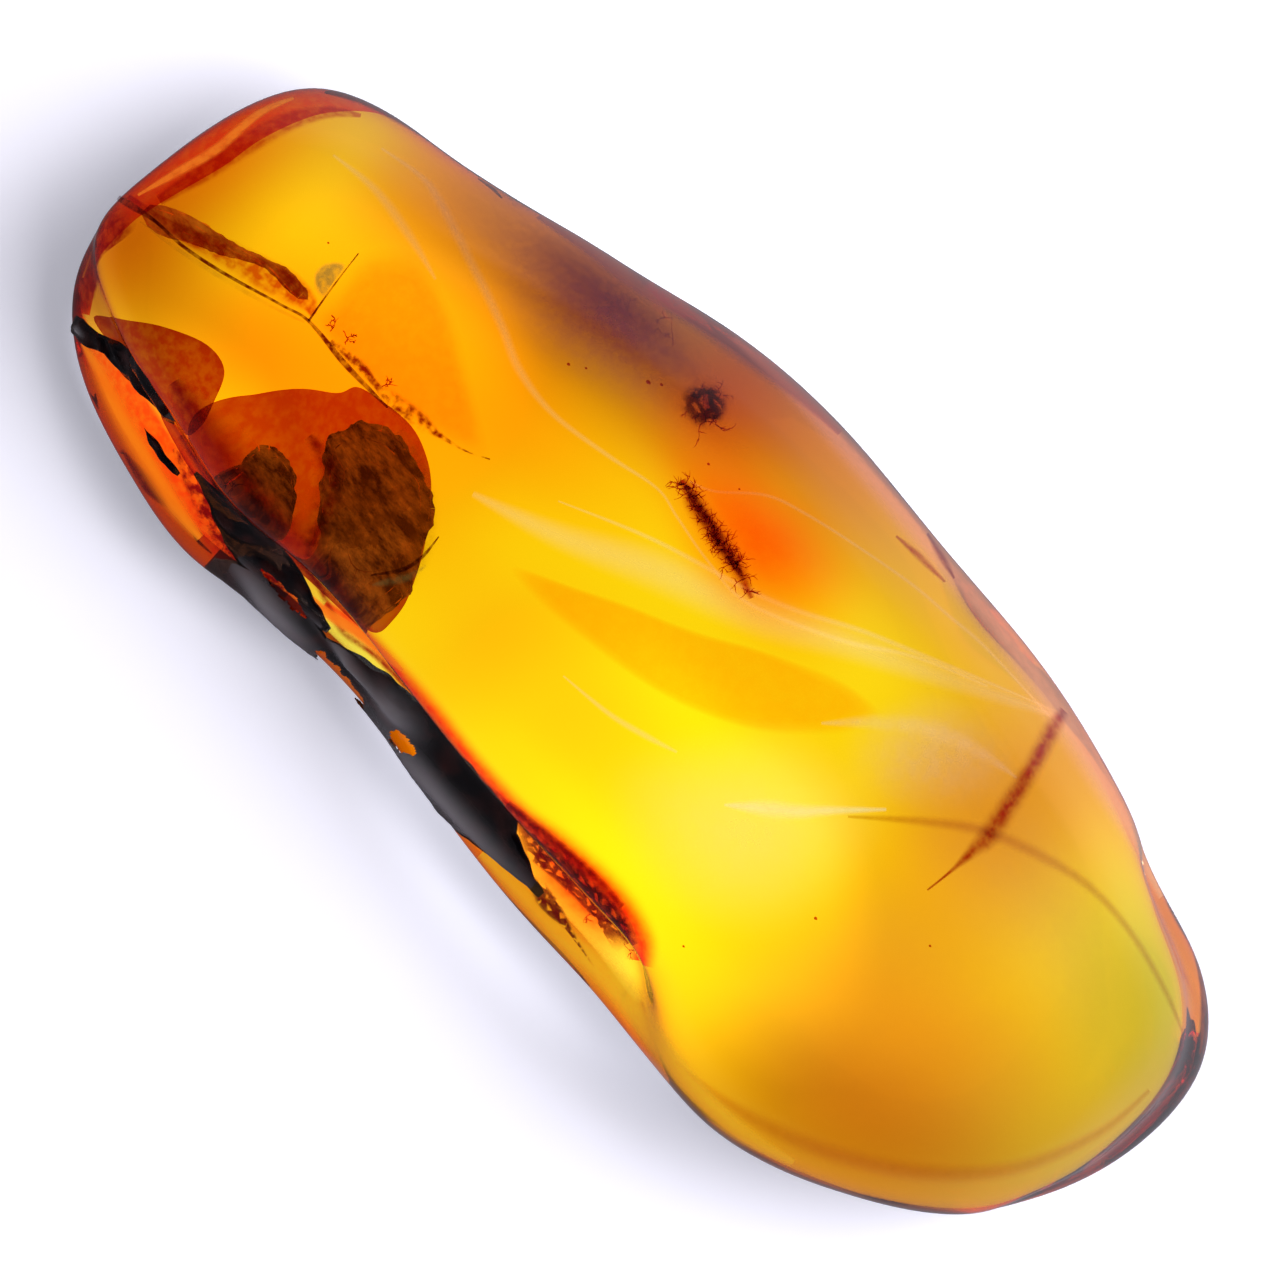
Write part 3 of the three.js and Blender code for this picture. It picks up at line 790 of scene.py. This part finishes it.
# Pale flow lines, partly flow lines in the resin and partly highlights painted along the edges of
# reflections: x, y and half the width.
FLOW_LINES = {
    "flow_line_back": [(-27.4, 6.2, 0.1), (-25.2, 6.7, 0.22), (-23.6, 6.6, 0.35), (-20.0, 5.7, 0.35),
        (-16.8, 4.8, 0.32), (-14.6, 4.0, 0.3), (-11.9, 3.8, 0.2), (-8.7, 4.4, 0.16), (-5.9, 5.1, 0.1),
        (-4.2, 4.9, 0.1), (-1.6, 4.6, 0.1), (1.2, 4.7, 0.14), (5.5, 6.8, 0.2), (8.5, 8.9, 0.16),
        (12, 10.6, 0.1)],
    "flow_line_edge": [(-5.1, 6.5, 0.06), (-3.9, 7.1, 0.1), (-2.1, 8.8, 0.12), (-0.2, 9.6, 0.12),
        (3.0, 10.5, 0.12), (6.0, 11.2, 0.14), (8.3, 11.5, 0.16), (10.6, 11.8, 0.16), (15.3, 11.9, 0.06)],
    "flow_line_low": [(-11.6, -1.6, 0.2), (-7.4, 0.1, 0.8), (-2.8, 2.6, 1.3), (1.9, 4.7, 1.3),
        (6, 7.0, 1.0), (10.8, 9.6, 0.7), (15.5, 12.2, 0.2)],
    "flow_line_mid": [(-8.6, 1.2, 0.06), (-4.0, 3.4, 0.16), (1.9, 5.6, 0.2), (6, 7.9, 0.2),
        (10.8, 10.2, 0.16), (15.5, 12.4, 0.06)],
    "flow_line_blunt": [(-28.6, 4.2, 0.1), (-26.0, 4.6, 0.3), (-23.4, 4.4, 0.35), (-20.6, 3.9, 0.1)],
    "flow_line_bottom": [(-2.2, -4.2, 0.06), (0.6, -3.8, 0.18), (2.6, -3.2, 0.22), (4.2, -2.6, 0.1)],
}

# Nets of dark cracks: the size of a cell in mm, how far below the top it lies, and its outline x, y.
NET_COLOUR = (105, 25, 32)
NET_CRACK = (0.3, 0.15)
NET_WARP = 0.0005
NETS = {
    "net_upper": (0.6, 0.12, [(0.9, -10.8), (2.7, -10.1), (5.3, -9.7), (7.5, -9.6), (9.6, -9.7),
        (10.3, -10.5), (9.7, -11.5), (8.5, -11.3), (6.6, -11.3), (5.4, -11.4), (3.8, -11.6),
        (2.4, -11.7)]),
    "net_lower": (0.5, 0.12, [(3.6, -12.2), (4.6, -11.8), (6.0, -11.9), (7.7, -12.4), (9.7, -12.9),
        (7.4, -12.7), (6.2, -12.9), (5.0, -12.9)]),
    "net_pit": (0.7, 0.15, [(-8.7, 9.4), (-8.2, 10.4), (-7.3, 10.8), (-6.4, 10.3), (-6.2, 9.4),
        (-6.8, 8.6), (-8.0, 8.6)]),
}

# Dark branching marks: where one starts in mm, its bearing, length in mm, forks and how far below the
# top it lies.
DENDRITES = [
    ((-12.6, 9.8), 170, 2.4, 5, 0.4), ((-10.6, 10.4), 160, 1.8, 5, 0.4),
    ((-20.9, -11.5), 10, 2.2, 5, 0.15), ((-20.2, -11.6), 60, 0.9, 4, 0.15),
    ((-19.2, -11.8), -10, 1.6, 5, 0.15), ((-22.1, -1.5), 75, 0.8, 5, 0.6),
    ((-21.7, -1.0), 20, 0.7, 5, 0.6), ((-18.4, -1.4), 60, 0.8, 4, 0.6), ((9.6, -10.9), -30, 0.7, 3, 0.12),
    ((7.4, -11.2), -70, 0.6, 3, 0.12),
]

# Fringes of short branches: the line they stand on, how many, their length in mm, and how far below the
# top they lie.
FRINGES = [
    ([(-5.3, 6.3), (-4.0, 6.05), (-2.6, 5.8), (-1.2, 5.6), (0.9, 5.1)], 80, 0.9, 0.32),
    ([(-8.4, 9.6), (-7.9, 10.3), (-7.2, 10.6), (-6.5, 10.1), (-6.4, 9.3), (-7.0, 8.7), (-7.9, 8.8)],
     24, 0.9, 0.3),
]
DENDRITE_WIDTH = 0.06
BRANCH_STEPS = 5

# Specks: x, y and size in mm.
SPECK_SIDES = 7
SPECK_UNDER = 0.3
SPECKS = [(-13.2, 6.0, 0.09), (-12.5, 6.5, 0.07), (-10.0, 8.3, 0.13), (-9.5, 8.7, 0.09), (-5.1, 7.8, 0.08),
          (-3.2, 8.1, 0.06), (11.4, -8.6, 0.07), (14.6, -3.0, 0.09), (19.3, 0.2, 0.07), (-25.4, 1.3, 0.06)]


def curve(points, steps, closed):
    """Points along a Catmull-Rom curve through the given ones, which may have any number of values."""
    values = [np.array(p, float) for p in points]
    count = len(values)
    spans = count if closed else count - 1
    result = []
    for i in range(spans):
        if closed:
            p0, p1, p2, p3 = (values[(i + k) % count] for k in (-1, 0, 1, 2))
        else:
            p0, p1, p2, p3 = (values[min(max(i + k, 0), count - 1)] for k in (-1, 0, 1, 2))
        for step in range(steps):
            t = step / steps
            result.append(0.5 * (2 * p1 + (p2 - p0) * t + (2 * p0 - 5 * p1 + 4 * p2 - p3) * t * t
                                 + (3 * p1 - p0 - 3 * p2 + p3) * t ** 3))
    if not closed:
        result.append(values[-1])
    return result


def sheet_height(skin, spec, x, y):
    if "z" in spec:
        return spec["z"] + SHEET_WAVE * noise.noise(Vector((x, y, 0)) / 3)
    top = top_at(skin, x, y)
    return None if top is None else max(top - spec["under"], 0.2)


def sheet_rows(spec):
    """Rows of (x, y, share), where share runs from 0 at the sheet's edge to 1 in its middle."""
    if "outline" in spec:
        loop = curve(spec["outline"], 6, True)
        centre = sum(loop) / len(loop)
        rings = 10
        rows = []
        for ring in range(rings + 1):
            share = ring / rings
            rows.append([(*(p + (centre - p) * share), share) for p in loop])
        return rows, True
    line = curve(spec["line"], 8, False)
    across = 6
    rows = []
    for step in range(-across, across + 1):
        share = step / across
        row = []
        for i, p in enumerate(line):
            ahead = line[min(i + 1, len(line) - 1)][:2] - line[max(i - 1, 0)][:2]
            side = np.array((-ahead[1], ahead[0])) / max(np.hypot(*ahead), 1e-9)
            x, y = p[:2] + side * p[2] * share
            row.append((x, y, 1 - abs(share)))
        rows.append(row)
    return rows, False


def sheet_mesh(name, spec, skin):
    rows, closed = sheet_rows(spec)
    points, cover, index = [], [], []
    edge = spec.get("edge", PLAIN_EDGE)
    for row in rows:
        places = []
        for x, y, share in row:
            height = sheet_height(skin, spec, x, y)
            if height is None:
                places.append(None)
                continue
            places.append(len(points))
            points.append((x * MM, y * MM, height * MM))
            level = min(share / edge, 1) if edge > SHARP_EDGE else 1
            cover.append(level * level * (3 - 2 * level))
        index.append(places)
    faces = []
    count = len(rows[0])
    for first, second in zip(index, index[1:]):
        for i in range(count if closed else count - 1):
            j = (i + 1) % count
            corners = (first[i], first[j], second[j], second[i])
            if None not in corners:
                faces.append(corners)
    return valued_mesh(name, points, faces, "cover", cover)


def cover_socket(tree, mottle, strength):
    """The sheet's cover attribute, broken up by fine clouds."""
    cover = add_node(tree, "Attribute", {}, attribute_name="cover")
    cloud = add_node(tree, "TexNoise", {
        "Vector": place_socket(tree), "Scale": 1800, "Detail": 2, "Roughness": 0.6})
    uneven = map_range(tree, cloud.outputs["Fac"], CLOUD_SPAN, (strength * (1 - mottle), strength))
    return multiplied(tree, uneven, cover.outputs["Fac"])


def clear_material(name):
    """A material that passes light and scatters none, its node tree, and the shader that tints."""
    material, tree, shader = new_material(name)
    tree.nodes.remove(shader)
    clear = add_node(tree, "BsdfTransparent", {})
    set_inputs(tree, tree.nodes["Material Output"], {"Surface": clear.outputs[0]})
    return material, tree, clear


def tint_by(tree, clear, share, colour):
    """Tints what is behind from white towards a colour, by the share at each place."""
    mix = add_node(tree, "Mix", {"Factor": share, "A": (1, 1, 1, 1), "B": colour}, data_type="RGBA")
    set_inputs(tree, clear, {"Color": mix.outputs["Result"]})


def filter_material(name, colour, mottle):
    """Tints what is behind it as far as the sheet covers."""
    material, tree, clear = clear_material(name)
    tint_by(tree, clear, cover_socket(tree, mottle, 1), colour)
    return material


def film_material(name, colour, mottle, strength, shine):
    """Covers what is behind it by its strength, and sends on some of the light it gathers."""
    material, tree, shader = new_material(name)
    set_inputs(tree, shader, {
        "Base Color": colour,
        "Roughness": 0.6,
        "Specular IOR Level": 0.0,
        "Emission Color": colour,
        "Emission Strength": shine,
        "Alpha": cover_socket(tree, mottle, strength),
    })
    return material


def net_material(name, cell):
    """Deep red cracks around clear cells."""
    material, tree, clear = clear_material(name)
    place = place_socket(tree)
    warp = add_node(tree, "TexNoise", {"Vector": place, "Scale": 1500})
    shifted = add_node(tree, "Mix", {"Factor": NET_WARP, "A": place, "B": warp.outputs["Color"]},
                       data_type="VECTOR")
    cells = add_node(tree, "TexVoronoi", {
        "Vector": shifted.outputs["Result"], "Scale": 1 / (cell * MM)}, feature="DISTANCE_TO_EDGE")
    crack = map_range(tree, cells.outputs["Distance"], NET_CRACK)
    tint_by(tree, clear, multiplied(tree, crack, cover_socket(tree, 0.2, 1)), srgb(*NET_COLOUR))
    return material


def add_sheet(name, spec, skin, material):
    mesh = sheet_mesh(name, spec, skin)
    mesh.materials.append(material)
    add_piece(name, mesh).visible_shadow = False


def add_sheets(skin):
    for name, spec in SHEETS.items():
        mottle = spec.get("mottle", PLAIN_MOTTLE)
        if "filter" in spec:
            material = filter_material(name, srgb(*spec["filter"]), mottle)
        else:
            colour = srgb(*spec["film"])
            material = film_material(name, colour, mottle, spec["strength"], spec["shine"])
        add_sheet(name, spec, skin, material)
    # The pale lines glow faintly, partly as painted highlights.
    pale = film_material("flow_line_painted_highlight", srgb(255, 228, 165), mottle=0.08, strength=0.34, shine=0.95)
    # Flow lines cross, so each lies at its own depth.
    for place, (name, line) in enumerate(FLOW_LINES.items()):
        add_sheet(name, {"under": 0.8 + 0.04 * place, "line": line}, skin, pale)
    for name, (cell, under, outline) in NETS.items():
        spec = {"under": under, "edge": 0.4, "outline": outline}
        add_sheet(name, spec, skin, net_material(name, cell))


def branch(start, bearing, length, forks, dice):
    """Lines of a mark that forks as it grows."""
    place = np.array(start, float)
    line = [place]
    for _ in range(BRANCH_STEPS):
        bearing += dice.uniform(-28, 28)
        heading = math.radians(bearing)
        place = place + length / BRANCH_STEPS * np.array((math.cos(heading), math.sin(heading)))
        line.append(place)
    lines = [line]
    if forks > 1:
        for at in dice.sample(range(1, BRANCH_STEPS), 2):
            turn = dice.choice((-1, 1)) * dice.uniform(35, 70)
            part = length * dice.uniform(0.4, 0.65)
            lines += branch(line[at], bearing + turn, part, forks - 1, dice)
    return lines


def branching_marks():
    """The lines of each mark and how far below the top it lies."""
    dice = random.Random(5)
    marks = []
    for start, bearing, length, forks, under in DENDRITES:
        marks.append((branch(start, bearing, length, forks, dice), under))
    for points, count, length, under in FRINGES:
        spine = curve(points, 12, False)
        for _ in range(count):
            at = dice.randrange(1, len(spine) - 1)
            ahead = spine[at + 1] - spine[at - 1]
            bearing = math.degrees(math.atan2(ahead[1], ahead[0])) + dice.choice((-90, 90))
            bearing += dice.uniform(-35, 35)
            part = length * dice.uniform(0.4, 1)
            marks.append((branch(spine[at], bearing, part, 2, dice), under))
    return marks


def add_dendrites(skin):
    points, faces = [], []
    for lines, under in branching_marks():
        for line in lines:
            previous = None
            for i, place in enumerate(line):
                top = top_at(skin, *place)
                if top is None:
                    break
                ahead = line[min(i + 1, BRANCH_STEPS)] - line[max(i - 1, 0)]
                side = np.array((-ahead[1], ahead[0])) / max(np.hypot(*ahead), 1e-9)
                half = DENDRITE_WIDTH / 2 * (1 - 0.7 * i / BRANCH_STEPS)
                corner = len(points)
                for x, y in (place + side * half, place - side * half):
                    points.append((x * MM, y * MM, (top - under) * MM))
                if previous is not None:
                    faces.append((previous, previous + 1, corner + 1, corner))
                previous = corner
    for x, y, size in SPECKS:
        top = top_at(skin, x, y) - SPECK_UNDER
        start = len(points)
        for k in range(SPECK_SIDES):
            turn = k * math.tau / SPECK_SIDES
            reach = size * (1 + 0.3 * math.sin(5 * k))
            points.append(((x + reach * math.cos(turn)) * MM, (y + reach * math.sin(turn)) * MM, top * MM))
        faces.append(tuple(range(start, start + SPECK_SIDES)))
    mesh = bpy.data.meshes.new("dendrites")
    mesh.from_pydata(points, [], faces)
    material, tree, clear = clear_material("dendrite")
    set_inputs(tree, clear, {"Color": srgb(190, 95, 90)})
    mesh.materials.append(material)
    add_piece("dendrites", mesh).visible_shadow = False


bpy.context.scene.view_settings.view_transform = "Standard"
cycles = bpy.context.scene.cycles
cycles.transparent_max_bounces = 16
cycles.max_bounces = 14
cycles.glossy_bounces = 12
cycles.transmission_bounces = 14
cycles.diffuse_bounces = 1
cycles.caustics_refractive = False
cycles.caustics_reflective = False
add_camera()
add_world()
for panel_name, panel_spec in PANELS.items():
    add_panel(panel_name, *panel_spec)
add_floor()
amber_skin = add_amber()
crust = crust_material()
for crust_name, crust_spec in CRUSTS.items():
    add_crust(crust_name, crust_spec, amber_skin, crust)
add_inclusions()
add_sheets(amber_skin)
add_dendrites(amber_skin)
